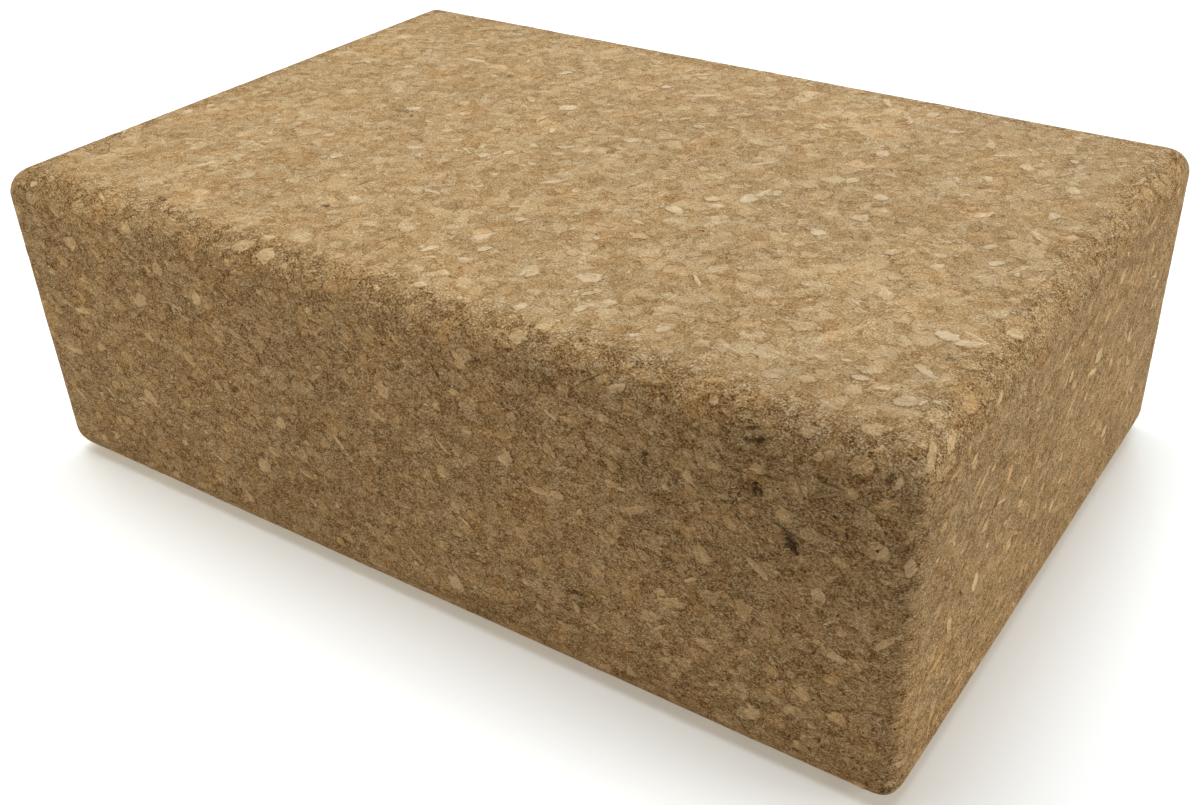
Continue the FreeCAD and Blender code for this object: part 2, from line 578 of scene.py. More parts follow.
@dataclass
class MatrixSkin:
    """The block's own body of fine grit and binder."""

    surface: CorkSurface
    material: bpy.types.Material
    node: str = "cork_matrix"
    grid: float = 1.16 * MM

    def tree(self) -> GroupBuilder:
        """Build the tree that makes the rounded brick and gives it its relief.

        Returns:
            The tree.
        """
        build = GroupBuilder("cork_block_form", "GeometryNodeTree")
        build.takes("Geometry", "Geometry")
        size = build.takes("Size", "Vector")
        counts = [build.takes(f"Points {axis}", "Int") for axis in "XYZ"]
        material = build.takes("Material", "Material")
        cube = build.node("GeometryNodeMeshCube", {"Size": size, 1: counts[0], 2: counts[1], 3: counts[2]})
        lifted = build.node("GeometryNodeSetPosition", {"Geometry": cube.outputs["Mesh"],
                                                        "Offset": self.surface.form.centre})
        position, pit = self.surface.settled(build, 0.0)
        marked = build.node("GeometryNodeStoreNamedAttribute",
                            {"Geometry": lifted.outputs[0], "Name": Attribute.PIT.value, "Value": pit})
        moved = build.node("GeometryNodeSetPosition", {"Geometry": marked.outputs[0], "Position": position})
        smooth = build.node("GeometryNodeSetShadeSmooth", {"Geometry": moved.outputs[0]})
        dressed = build.node("GeometryNodeSetMaterial", {"Geometry": smooth.outputs[0], "Material": material})
        build.gives("Geometry", "Geometry", dressed.outputs[0])
        return build

    def build(self) -> bpy.types.Object:
        """Make the body and register it.

        Returns:
            The finished piece.
        """
        size = self.surface.form.half * 2
        values: dict[str, Any] = {"Size": size, "Material": self.material}
        for axis, length in zip("XYZ", size):
            values[f"Points {axis}"] = round(length / self.grid) + 1
        piece = run_tree(self.tree(), bpy.data.meshes.new("cork_block"), "cork_block", values)
        add_piece(piece, self.node)
        return piece


class GranuleOutlines:
    """Reads the coarse granules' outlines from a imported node."""

    flush = 0.9 * MM

    def __init__(self, form: BlockForm) -> None:
        """Keep the form that the granules lie in."""
        self.form = form

    def loops(self, node: str) -> list[list[Vector]]:
        """Every granule's outline on the surface.

        Args:
            node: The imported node.

        Returns:
            One closed loop of points for each granule.
        """
        mesh = bmesh.new()
        mesh.from_mesh(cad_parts[node].data)
        bmesh.ops.remove_doubles(mesh, verts=mesh.verts, dist=1e-6)
        outer = {face for face in mesh.faces if self._is_outer(face)}
        following: dict[bmesh.types.BMVert, bmesh.types.BMVert] = {}
        for face in outer:
            for loop in face.loops:
                if not any(other in outer for other in loop.edge.link_faces if other is not face):
                    following[loop.vert] = loop.link_loop_next.vert
        found = []
        while following:
            start, here = following.popitem()
            ring = [start.co.copy()]
            while here is not start:
                ring.append(here.co.copy())
                here = following.pop(here)
            found.append(ring)
        mesh.free()
        found.sort(key=lambda ring: tuple(ring[0]))
        return found

    def _is_outer(self, face: bmesh.types.BMFace) -> bool:
        """Whether a face lies on the block's outside."""
        for vert in face.verts:
            level, _ = self.form.nearest(vert.co)
            if (level - vert.co).length > self.flush:
                return False
        _, outward = self.form.nearest(face.calc_center_median())
        return face.normal.dot(outward) > 0.5


class ChipMesh:
    """Collects flat chips, each with the values that its material reads."""

    rings = ((1.0, 0.0), (0.93, 0.85), (0.8, 1.0), (0.45, 1.0))

    def __init__(self) -> None:
        """Start empty."""
        self.mesh = bmesh.new()
        layers = self.mesh.verts.layers
        self.tone = layers.float.new(Attribute.TONE.value)
        self.grain = layers.float_vector.new(Attribute.GRAIN.value)
        self.rise = layers.float.new(Attribute.RISE.value)
        self.inset = layers.float.new(Attribute.INSET.value)

    def add(self, outline: list[Vector], centre: Vector, shade: float, course: Vector) -> None:
        """Add one chip.

        Args:
            outline: Its rim, turning left round the outward direction.
            centre: Its middle.
            shade: Its own tone, from dark to light.
            course: Which way its grain runs.
        """
        def vertex(point: Vector, scale: float, height: float) -> bmesh.types.BMVert:
            """Add a point of this chip."""
            vert = self.mesh.verts.new(centre.lerp(point, scale))
            vert[self.tone] = shade
            vert[self.grain] = course
            vert[self.rise] = height
            vert[self.inset] = scale
            return vert

        rows = [[vertex(point, scale, height) for point in outline] for scale, height in self.rings]
        crown = vertex(centre, 0.0, 1.0)
        root = vertex(centre, 0.0, -1.0)
        for index in range(len(outline)):
            after = (index + 1) % len(outline)
            for lower, upper in zip(rows, rows[1:]):
                self.mesh.faces.new((lower[index], lower[after], upper[after], upper[index]))
            self.mesh.faces.new((rows[-1][index], rows[-1][after], crown))
            self.mesh.faces.new((rows[0][after], rows[0][index], root))

    def finish(self, name: str, settle: GroupBuilder, material: bpy.types.Material) -> bpy.types.Object:
        """Settle the chips in the block's surface.

        Args:
            name: The finished piece's name.
            settle: The tree that settles them.
            material: Their finish.

        Returns:
            The finished piece.
        """
        data = bpy.data.meshes.new(name)
        self.mesh.to_mesh(data)
        self.mesh.free()
        return run_tree(settle, data, name, {"Material": material})


@dataclass
class CoarseGranules:
    """The coarse granules of one kind at one place, sanded flush with the block."""

    place: str
    kind: GranuleKind
    surface: CorkSurface
    material: bpy.types.Material
    settle: GroupBuilder
    points: int = 28
    roughness: float = 0.09

    @property
    def node(self) -> str:
        """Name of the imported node."""
        return f"{self.place}_{self.kind.value}_granules"

    def outline(self, ring: list[Vector], centre: Vector, axes: tuple[Vector, Vector],
                rng: random.Random) -> list[Vector]:
        """A granule's outline, with its straight cuts roughened.

        Args:
            ring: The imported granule's own outline.
            centre: Its middle.
            axes: Two directions in the surface.
            rng: The granule's own source of chance.

        Returns:
            Points round the middle, evenly turned.
        """
        flat = np.array([[(point - centre).dot(axis) for axis in axes] for point in ring])
        angles = np.arctan2(flat[:, 1], flat[:, 0])
        order = np.argsort(angles)
        angles, flat = angles[order], flat[order]
        turns = np.linspace(-math.pi, math.pi, self.points, endpoint=False)
        after = np.searchsorted(angles, turns) % len(angles)
        first, last = flat[after - 1], flat[after]
        side = last - first
        sweep = np.cos(turns) * side[:, 1] - np.sin(turns) * side[:, 0]
        reach = (first[:, 0] * last[:, 1] - first[:, 1] * last[:, 0]) / sweep
        reach *= 1 + np.array([rng.uniform(-self.roughness, self.roughness) for _ in turns])
        return [centre + axes[0] * x + axes[1] * y for x, y in zip(reach * np.cos(turns), reach * np.sin(turns))]

    def build(self) -> bpy.types.Object:
        """Make the granules and register them.

        Returns:
            The finished piece.
        """
        chips = ChipMesh()
        for number, ring in enumerate(GranuleOutlines(self.surface.form).loops(self.node)):
            rng = random.Random(f"{self.node} {number}")
            centre, outward = self.surface.form.nearest(sum(ring, Vector()) / len(ring))
            along = outward.orthogonal().normalized()
            axes = (along, outward.cross(along))
            turn = rng.uniform(0.0, math.pi)
            course = axes[0] * math.cos(turn) + axes[1] * math.sin(turn)
            chips.add(self.outline(ring, centre, axes, rng), centre, rng.random(), course)
        piece = chips.finish(f"{self.place}_{self.kind.value}_chips", self.settle, self.material)
        add_piece(piece, self.node)
        return piece


class Mark(NamedTuple):
    """A single chip or crack that the photograph shows, in millimetres."""

    place: tuple[float, float, float]
    half_run: tuple[float, float, float]
    breadth: float
    tone: float


@dataclass
class Marks:
    """Single chips or cracks of one finish."""

    name: str
    marks: tuple[Mark, ...]
    surface: CorkSurface
    material: bpy.types.Material
    settle: GroupBuilder
    slot: Slot
    roughness: float
    points: int = 18

    def build(self) -> bpy.types.Object:
        """Make the marks and register them.

        Returns:
            The finished piece.
        """
        rng = random.Random(self.name)
        chips = ChipMesh()
        for mark in self.marks:
            centre, outward = self.surface.form.nearest(Vector(mark.place) * MM)
            run = Vector(mark.half_run) * MM
            run -= outward * run.dot(outward)
            across = outward.cross(run).normalized() * (mark.breadth * MM / 2)
            outline = []
            for number in range(self.points):
                turn = 2 * math.pi * number / self.points
                reach = 1 + rng.uniform(-self.roughness, self.roughness)
                outline.append(centre + (run * math.cos(turn) + across * math.sin(turn)) * reach)
            chips.add(outline, centre, mark.tone, run.normalized())
        piece = chips.finish(self.name, self.settle, self.material)
        add_piece(piece)
        return piece


def settle_tree(surface: CorkSurface, name: str, sink: float, stand: float) -> GroupBuilder:
    """Build the tree that settles granules into the block's surface.

    Args:
        surface: The block's surface.
        name: The tree's name.
        sink: How far a granule's rim lies below the surface.
        stand: How far its top stands out.

    Returns:
        The tree.
    """
    build = GroupBuilder(name, "GeometryNodeTree")
    geometry = build.takes("Geometry", "Geometry")
    material = build.takes("Material", "Material")
    rise = build.node("GeometryNodeInputNamedAttribute", {"Name": Attribute.RISE.value}, data_type="FLOAT")
    height = build.math("MULTIPLY_ADD", rise.outputs[0], sink + stand, -sink)
    position, pit = surface.settled(build, height)
    marked = build.node("GeometryNodeStoreNamedAttribute",
                        {"Geometry": geometry, "Name": Attribute.PIT.value, "Value": pit})
    moved = build.node("GeometryNodeSetPosition", {"Geometry": marked.outputs[0], "Position": position})
    smooth = build.node("GeometryNodeSetShadeSmooth", {"Geometry": moved.outputs[0]})
    dressed = build.node("GeometryNodeSetMaterial", {"Geometry": smooth.outputs[0], "Material": material})
    build.gives("Geometry", "Geometry", dressed.outputs[0])
    return build


@dataclass
class SmallGranules:
    """Small granules scattered all over the block and pressed into its matrix."""

    name: str
    surface: CorkSurface
    material: bpy.types.Material
    spacing: float
    shortest: float
    longest: float
    slimness: tuple[float, float]
    corners: int
    top_share: float
    sink: float
    stand: float
    ragged: float
    seed: int
    bed_grid: float = 4.0 * MM
    level_swing: float = 0.8

    def chip(self, build: GroupBuilder) -> bpy.types.NodeSocket:
        """Add the nodes that make one flat chip, two units across and one high.

        Args:
            build: The tree.

        Returns:
            The chip's geometry.
        """
        cone = build.node("GeometryNodeMeshCone",
                          {"Vertices": self.corners, "Side Segments": 1, "Fill Segments": 1,
                           "Radius Top": self.top_share, "Radius Bottom": 1.0, "Depth": 1.0},
                          fill_type="TRIANGLE_FAN" if self.top_share else "NGON")
        here = build.node("GeometryNodeInputPosition").outputs[0]
        parts = build.node("ShaderNodeSeparateXYZ", {0: here}).outputs
        away = build.math("SQRT", build.math("MULTIPLY_ADD", parts[0], parts[0],
                                             build.math("MULTIPLY", parts[1], parts[1])))
        risen = self.stored(build, cone.outputs["Mesh"], Attribute.RISE, parts[2], "FLOAT", "POINT")
        return self.stored(build, risen, Attribute.INSET, away, "FLOAT", "POINT")

    def stored(self, build: GroupBuilder, geometry: bpy.types.NodeSocket, name: Attribute, value: Any,
               kind: str, domain: str) -> bpy.types.NodeSocket:
        """Add a node that stores a named value.

        Args:
            build: The tree.
            geometry: What carries the value.
            name: The value's name.
            value: The value.
            kind: Its data type.
            domain: What it is stored on.

        Returns:
            The geometry with the value.
        """
        node = build.node("GeometryNodeStoreNamedAttribute", {"Geometry": geometry, "Name": name.value, "Value": value},
                          data_type=kind, domain=domain)
        return node.outputs[0]

    def chance(self, build: GroupBuilder, seed: bpy.types.NodeSocket, turn: int, low: Any, high: Any) -> Any:
        """Add a chance number for each granule.

        Args:
            build: The tree.
            seed: The tree's seed.
            turn: Which of the granule's numbers this is.
            low: The least that it can be.
            high: The most that it can be.

        Returns:
            The number's socket.
        """
        own_seed = build.math("ADD", seed, float(turn))
        node = build.node("FunctionNodeRandomValue", {2: low, 3: high, "Seed": own_seed}, data_type="FLOAT")
        return node.outputs[1]

    def tree(self) -> GroupBuilder:
        """Build the tree that scatters the granules and settles them in the surface.

        Returns:
            The tree.
        """
        build = GroupBuilder(self.name + "_scatter", "GeometryNodeTree")
        build.takes("Geometry", "Geometry")
        size = build.takes("Size", "Vector")
        counts = [build.takes(f"Points {axis}", "Int") for axis in "XYZ"]
        spacing = build.takes("Spacing", "Float")
        shortest = build.takes("Shortest", "Float")
        longest = build.takes("Longest", "Float")
        seed = build.takes("Seed", "Int")
        material = build.takes("Material", "Material")

        cube = build.node("GeometryNodeMeshCube", {"Size": size, 1: counts[0], 2: counts[1], 3: counts[2]})
        lifted = build.node("GeometryNodeSetPosition", {"Geometry": cube.outputs["Mesh"],
                                                        "Offset": self.surface.form.centre})
        here = build.node("GeometryNodeInputPosition").outputs[0]
        level = build.group(self.surface.seat, {"Position": here}).outputs[0]
        bed = build.node("GeometryNodeSetPosition", {"Geometry": lifted.outputs[0], "Position": level})
        crowd = build.math("DIVIDE", 4.0, build.math("MULTIPLY", spacing, spacing))
        points = build.node("GeometryNodeDistributePointsOnFaces",
                            {"Mesh": bed.outputs[0], "Distance Min": spacing, "Density Max": crowd, "Seed": seed},
                            distribute_method="POISSON")

        share = build.math("POWER", self.chance(build, seed, 1, 0.0, 1.0), 1.7)
        half_length = build.math("MULTIPLY", build.lerp(share, shortest, longest), 0.5)
        half_breadth = build.math("MULTIPLY", half_length, self.chance(build, seed, 2, *self.slimness))
        flat = build.node("ShaderNodeCombineXYZ", {0: half_length, 1: half_breadth, 2: self.sink})
        outward = points.outputs["Normal"]
        level = build.vector("CROSS_PRODUCT", (0.01, 0.02, 1.0), outward)
        lying = build.node("FunctionNodeAxesToRotation", {0: outward, 1: level}, primary_axis="Z", secondary_axis="X")
        upward = build.node("ShaderNodeSeparateXYZ", {0: outward}).outputs[2]
        swing = build.lerp(build.math("ABSOLUTE", upward), self.level_swing, math.pi / 2)
        angle = build.math("MULTIPLY", self.chance(build, seed, 3, -1.0, 1.0), swing)
        spin = build.node("FunctionNodeAxisAngleToRotation", {"Axis": (0, 0, 1), "Angle": angle})
        turned = build.node("FunctionNodeRotateRotation", {"Rotation": lying.outputs[0],
                                                           "Rotate By": spin.outputs[0]}, rotation_space="LOCAL")
        placed = build.node("GeometryNodeInstanceOnPoints",
                            {"Points": points.outputs["Points"], "Instance": self.chip(build),
                             "Rotation": turned.outputs[0], "Scale": flat.outputs[0]}).outputs[0]
        placed = self.stored(build, placed, Attribute.TONE, self.chance(build, seed, 4, 0.0, 1.0), "FLOAT", "INSTANCE")
        stand = self.chance(build, seed, 5, 0.3 * self.stand, self.stand)
        placed = self.stored(build, placed, Attribute.STAND, stand, "FLOAT", "INSTANCE")
        lengthwise = build.node("FunctionNodeRotateVector", {0: (1, 0, 0), 1: turned.outputs[0]})
        placed = self.stored(build, placed, Attribute.GRAIN, lengthwise.outputs[0], "FLOAT_VECTOR", "INSTANCE")
        real = build.node("GeometryNodeRealizeInstances", {"Geometry": placed})

        warp = build.noise(build.scaled(here, 1.0 / MM), 0.9).outputs["Color"]
        shift = build.scaled(build.vector("SUBTRACT", warp, (0.5, 0.5, 0.5)), 2 * self.ragged)
        torn = build.node("GeometryNodeSetPosition", {"Geometry": real.outputs[0], "Offset": shift})
        rise = build.node("GeometryNodeInputNamedAttribute", {"Name": Attribute.RISE.value}, data_type="FLOAT")
        own_stand = build.node("GeometryNodeInputNamedAttribute", {"Name": Attribute.STAND.value}, data_type="FLOAT")
        whole = build.math("ADD", own_stand.outputs[0], self.sink)
        height = build.math("MULTIPLY_ADD", rise.outputs[0], whole, -self.sink)
        position, pit = self.surface.settled(build, height)
        marked = self.stored(build, torn.outputs[0], Attribute.PIT, pit, "FLOAT", "POINT")
        moved = build.node("GeometryNodeSetPosition", {"Geometry": marked, "Position": position})
        smooth = build.node("GeometryNodeSetShadeSmooth", {"Geometry": moved.outputs[0]})
        dressed = build.node("GeometryNodeSetMaterial", {"Geometry": smooth.outputs[0], "Material": material})
        build.gives("Geometry", "Geometry", dressed.outputs[0])
        return build

    def build(self) -> bpy.types.Object:
        """Scatter the granules and register them.

        Returns:
            The finished piece.
        """
        size = self.surface.form.half * 2
        values: dict[str, Any] = {"Size": size, "Spacing": self.spacing, "Shortest": self.shortest,
                                  "Longest": self.longest, "Seed": self.seed, "Material": self.material}
        for axis, length in zip("XYZ", size):
            values[f"Points {axis}"] = round(length / self.bed_grid) + 1
        piece = run_tree(self.tree(), bpy.data.meshes.new(self.name), self.name, values)
        add_piece(piece)
        return piece


Stops = tuple[tuple[float, Colour], ...]


@dataclass(frozen=True)
class CorkFinish:
    """The pressed cork's finish: a mosaic of crumbs and granules with fibres in them, in millimetres."""

    name: str = "pressed_cork"
    colours: Stops = (
        (0.00, (0.082, 0.036, 0.010, 1)),
        (0.22, (0.195, 0.096, 0.028, 1)),
        (0.45, (0.318, 0.179, 0.065, 1)),
        (0.62, (0.410, 0.251, 0.106, 1)),
        (0.85, (0.540, 0.370, 0.192, 1)),
        (1.00, (0.670, 0.505, 0.300, 1)),
    )
    # Painted shade inside pits; also the colour of dark seams round part of a granule's rim.
    seam_and_hollow_shade: Colour = (0.055, 0.026, 0.008, 1)
    ruddy_tint: Colour = (1.04, 0.95, 0.82, 1)
    press: float = 1.35
    crumb_size: float = 1.6
    granule_size: float = 3.8
    granule_share: float = 0.45
    crack_spacing: float = 9.0
    bend: float = 1.5
    curl: float = 1.6
    curl_rate: float = 0.75
    fine_fibre: float = 0.34
    long_fibre: float = 0.38
    fibre_stretch: float = 2.4
    streak_stretch: float = 7.0
    grit: float = 0.42
    spark: float = 0.55
    # Painted sheen on the top and the bottom: where it lies, how it calms and lifts the tone, its cool tint and how
    # much paler chips are there. It fades out over the rounded edges and near the sides, which paints shade along the
    # edges.
    painted_sheen_depth: tuple[float, float] = (0.05, 1.5)
    painted_sheen_margin: tuple[float, float] = (4.0, 11.0)
    painted_sheen_calm: float = 0.52
    painted_sheen_flakes: float = 0.13
    painted_sheen_base: float = 0.142
    painted_sheen_tint: Colour = (1.01, 1.09, 1.265, 1)
    skin_chips: float = 0.02
    # A stain and painted shade: the cork is darker around the front's top right corner, where the light falls off.
    stain_and_painted_shade_place: tuple[float, float, float] = (88.0, -76.0, 62.0)
    stain_and_painted_shade_reach: tuple[float, float] = (46.0, 8.0)
    stain_and_painted_shade: float = 0.18
    roughness: float = 0.88
    bump_height: float = 0.30 * MM


@dataclass(frozen=True)
class GranuleFinish:
    """The finish of one kind of granule: its colours from dark to light and how strong its marks are."""

    name: str
    colours: Stops
    cover: tuple[float, float]
    streaks: float
    ragged: float
    seam: float
    roughness: float
    tear: float = 0.8
    rim: tuple[float, float] = (0.98, 0.60)


class CorkFinishes:
    """The block's materials and the shader groups that they share."""

    middle = (0.5, 0.5, 0.5)

    def __init__(self, cork: CorkFinish, form: BlockForm) -> None:
        """Build the shared groups.

        Args:
            cork: The pressed cork's finish.
            form: The block's form, whose top and bottom get a painted sheen.
        """
        self.cork = cork
        self.form = form
        self.fibres = self._fibres_group()
        self.ageing_shade_and_sheen = self._ageing_shade_and_sheen_group()
        self.mosaic = self._mosaic_group()

    def _fibres_group(self) -> bpy.types.NodeTree:
        """Build the group of fibres that lie along a direction.

        Returns:
            The group's tree.
        """
        build = GroupBuilder("cork_fibres", "ShaderNodeTree")
        place = build.takes("Vector", "Vector")
        course = build.takes("Direction", "Vector")
        width = build.takes("Width", "Float", self.cork.fine_fibre)
        stretch = build.takes("Stretch", "Float", self.cork.fibre_stretch)
        direction = build.vector("NORMALIZE", course)
        shrink = build.math("SUBTRACT", 1.0, build.math("DIVIDE", 1.0, stretch))
        along = build.math("MULTIPLY", build.dot(place, direction), shrink)
        squeezed = build.vector("SUBTRACT", place, build.scaled(direction, along))
        hair = build.noise(squeezed, build.math("DIVIDE", 1.0, width), detail=2.0, roughness=0.6)
        build.gives("Value", "Float", hair.outputs[0])
        return build.tree

    def _ageing_shade_and_sheen_group(self) -> bpy.types.NodeTree:
        """Build the group of slow colour changes over the block, with a stain and painted shade near the front's top
        right corner and a painted sheen on the top and bottom.

        Returns:
            The group's tree.
        """
        build = GroupBuilder("cork_ageing_shade_and_sheen", "ShaderNodeTree")
        place = build.takes("Vector", "Vector")
        colour = build.takes("Color", "Color")
        share = build.takes("Painted Sheen Share", "Float", 1.0)
        broad = build.noise(place, 0.022, detail=2.0).outputs[0]
        patchy = build.noise(place, 0.09, detail=2.0).outputs[0]
        # Partly a stain, partly painted shade: darker towards the front's top right corner.
        away = build.node("ShaderNodeVectorMath", {0: place, 1: self.cork.stain_and_painted_shade_place}, operation="DISTANCE")
        stain_and_painted_shade = build.remap(away.outputs["Value"], *self.cork.stain_and_painted_shade_reach, 1.0, 1.0 - self.cork.stain_and_painted_shade)
        light = build.math("MULTIPLY", build.remap(broad, 0.3, 0.7, 0.95, 1.05), stain_and_painted_shade)
        warm = build.mix(build.remap(patchy, 0.45, 0.75, 0.0, 0.5), colour, self.cork.ruddy_tint, "MULTIPLY")
        grey = build.node("ShaderNodeCombineXYZ", {0: light, 1: light, 2: light})
        worn = build.mix(1.0, warm, grey.outputs[0], "MULTIPLY")
        # Painted sheen: a cool, pale tint on the top and the bottom.
        tinted = build.math("MULTIPLY", self.painted_sheen(build, place), share)
        build.gives("Color", "Color", build.mix(tinted, worn, self.cork.painted_sheen_tint, "MULTIPLY"))
        return build.tree

    def painted_sheen(self, build: TreeBuilder, place: bpy.types.NodeSocket) -> bpy.types.NodeSocket:
        """Add the nodes that mark where a painted sheen lies: the top and the bottom, fading out over the rounded edges
        and near the sides, which leaves painted shade along the edges.

        Args:
            build: The group's builder.
            place: The position in millimetres.

        Returns:
            One on those faces and zero away from them.
        """
        local = build.vector("ABSOLUTE", build.vector("SUBTRACT", place, self.form.centre / MM))
        depths = build.node("ShaderNodeSeparateXYZ", {0: build.vector("SUBTRACT", self.form.half / MM, local)}).outputs
        level = build.remap(depths[2], self.cork.painted_sheen_depth[1], self.cork.painted_sheen_depth[0])
        margin = build.math("MINIMUM", depths[0], depths[1])
        return build.math("MULTIPLY", level, build.remap(margin, *self.cork.painted_sheen_margin))

    def _mosaic_group(self) -> bpy.types.NodeTree:
        """Build the group of the pressed cork: crumbs, granules cut through, seams, specks, painted shade in cracks and
        a painted sheen on the top and bottom.

        Returns:
            The group's tree.
        """
        cork = self.cork
        build = GroupBuilder("cork_mosaic", "ShaderNodeTree")
        place = build.takes("Vector", "Vector")
        pressed = build.vector("MULTIPLY", place, (1.0, 1.0, cork.press))
        warp = build.vector("SUBTRACT", build.noise(pressed, 0.55).outputs["Color"], self.middle)
        bent = build.vector("ADD", pressed, build.scaled(warp, cork.bend))
        swirl = build.vector("SUBTRACT", build.noise(pressed, cork.curl_rate).outputs["Color"], self.middle)
        curled = build.vector("ADD", pressed, build.scaled(swirl, cork.curl))
        crumbs = build.cells(bent, 1.0 / cork.crumb_size).outputs["Color"]
        gap = build.cells(bent, 1.0 / cork.crumb_size, "DISTANCE_TO_EDGE").outputs["Distance"]
        granules = build.cells(bent, 1.0 / cork.granule_size).outputs["Color"]
        edge = build.cells(bent, 1.0 / cork.granule_size, "DISTANCE_TO_EDGE").outputs["Distance"]
        crumb = build.node("ShaderNodeSeparateXYZ", {0: crumbs}).outputs
        granule = build.node("ShaderNodeSeparateXYZ", {0: granules}).outputs
        fine = build.group(self.fibres, {"Vector": curled, "Width": cork.fine_fibre,
                                         "Direction": self.laid(build, crumbs)}).outputs[0]
        long = build.group(self.fibres, {"Vector": curled, "Width": cork.long_fibre, "Stretch": cork.streak_stretch,
                                         "Direction": self.laid(build, granules)}).outputs[0]
        grit = build.noise(pressed, 1.0 / cork.grit, detail=3.0, roughness=0.75).outputs[0]
        rough = build.math("MULTIPLY_ADD", grit, 2.5, build.math("MULTIPLY_ADD", fine, 1.6, -1.64))
        crumb_tone = build.math("MULTIPLY_ADD", crumb[0], 0.28, rough)
        parted = build.math("MULTIPLY", build.remap(gap, 0.09, 0.0),
                            build.remap(build.noise(place, 0.5).outputs[0], 0.47, 0.60))
        crumb_tone = build.math("MULTIPLY_ADD", parted, -0.30, crumb_tone)
        smooth = build.math("MULTIPLY_ADD", grit, 1.4, build.math("MULTIPLY_ADD", long, 1.7, -1.04))
        granule_tone = build.math("MULTIPLY_ADD", granule[1], 0.28, smooth)
        present = build.math("GREATER_THAN", granule[0], 1.0 - cork.granule_share)
        cover = build.math("MULTIPLY", build.remap(edge, 0.0, 0.14, 0.0, 0.6), present)
        tone = build.lerp(cover, crumb_tone, granule_tone)
        seam = build.math("MULTIPLY", build.remap(edge, 0.05, 0.0),
                          build.remap(build.noise(place, 0.22).outputs[0], 0.52, 0.64))
        tone = build.math("MULTIPLY_ADD", seam, -0.16, tone)
        # Painted shade in thin cracks: the tone is darker along them.
        split = build.cells(bent, 1.0 / cork.crack_spacing, "DISTANCE_TO_EDGE").outputs["Distance"]
        crack = build.math("MULTIPLY", build.remap(split, 0.03, 0.0),
                           build.remap(build.noise(place, 0.17, detail=1.0).outputs[0], 0.58, 0.66))
        tone = build.math("MULTIPLY_ADD", crack, -0.34, tone)
        speck = build.group(self.fibres, {"Vector": place, "Width": 0.9, "Direction": granules}).outputs[0]
        tone = build.math("MULTIPLY_ADD", build.remap(speck, 0.66, 0.78), -0.34, tone)
        spark = build.noise(curled, 1.0 / cork.spark, detail=1.0).outputs[0]
        tone = build.math("MULTIPLY_ADD", build.remap(spark, 0.58, 0.74), 0.30, tone)
        # Painted sheen on the top and the bottom: the tone there is calmer and paler.
        painted_sheen = self.painted_sheen(build, place)
        flakes = build.math("MULTIPLY_ADD", granule[1], cork.painted_sheen_flakes, cork.painted_sheen_base)
        flakes = build.math("MULTIPLY_ADD", crumb[0], cork.painted_sheen_flakes / 2, flakes)
        calm = build.math("MULTIPLY_ADD", tone, cork.painted_sheen_calm, flakes)
        tone = build.lerp(painted_sheen, tone, calm)
        colour = build.ramp(tone, list(cork.colours))
        colour = build.mix(build.remap(granule[2], 0.5, 0.95, 0.0, 0.5), colour, cork.ruddy_tint, "MULTIPLY")
        # The painted sheen's tint goes on the lighter tones only.
        lit = build.remap(tone, 0.2, 0.6)
        colour = build.group(self.ageing_shade_and_sheen, {"Vector": place, "Color": colour, "Painted Sheen Share": lit}).outputs[0]
        build.gives("Color", "Color", colour)
        build.gives("Height", "Float", tone)
        return build.tree

    def laid(self, build: TreeBuilder, chance: bpy.types.NodeSocket) -> bpy.types.NodeSocket:
        """Turn a chance colour into a direction that lies nearly level, as pressed flakes do.

        Args:
            build: The group's builder.
            chance: The colour.

        Returns:
            The direction's socket.
        """
        return build.vector("MULTIPLY", build.vector("SUBTRACT", chance, self.middle), (1.0, 1.0, 0.75))

    def start(self, name: str) -> tuple[TreeBuilder, bpy.types.Node, bpy.types.Material, bpy.types.NodeSocket]:
        """Start a material with its shader and its place in millimetres.

        Args:
            name: The material's name.

        Returns:
            The builder, the shader's node, the material and the place.
        """
        material = bpy.data.materials.new(name)
        material.use_nodes = True
        build = TreeBuilder(material.node_tree)
        shader = next(node for node in material.node_tree.nodes if node.type == "BSDF_PRINCIPLED")
        shader.inputs["Specular IOR Level"].default_value = 0.15
        coordinates = build.node("ShaderNodeTexCoord")
        return build, shader, material, build.scaled(coordinates.outputs["Object"], 1.0 / MM)

    def matrix(self) -> bpy.types.Material:
        """The matrix's finish, with painted shade inside its pits.

        Returns:
            The material.
        """
        build, shader, material, place = self.start(self.cork.name)
        mosaic = build.group(self.mosaic, {"Vector": place})
        pit = pit_mask(build, place)
        # Painted shade inside the pits.
        colour = build.mix(build.math("MULTIPLY", pit, 0.7), mosaic.outputs["Color"], self.cork.seam_and_hollow_shade)
        height = build.math("MULTIPLY_ADD", pit, -1.0, mosaic.outputs["Height"])
        self.finish(build, shader, colour, height, self.cork.roughness)
        return material

    def granules(self, finish: GranuleFinish) -> bpy.types.Material:
        """A granule's finish: its own tone and streaks inside a ragged rim, and pressed cork outside it.

        Args:
            finish: What to make.

        Returns:
            The material.
        """
        build, shader, material, place = self.start(finish.name)
        tone, grain, inset, pit = [build.node("ShaderNodeAttribute", attribute_name=name.value) for name in
                                   (Attribute.TONE, Attribute.GRAIN, Attribute.INSET, Attribute.PIT)]
        mosaic = build.group(self.mosaic, {"Vector": place})
        hair = build.group(self.fibres, {"Vector": place, "Width": self.cork.long_fibre,
                                         "Stretch": self.cork.streak_stretch,
                                         "Direction": grain.outputs["Vector"]}).outputs[0]
        line = build.math("SUBTRACT", hair, 0.5)
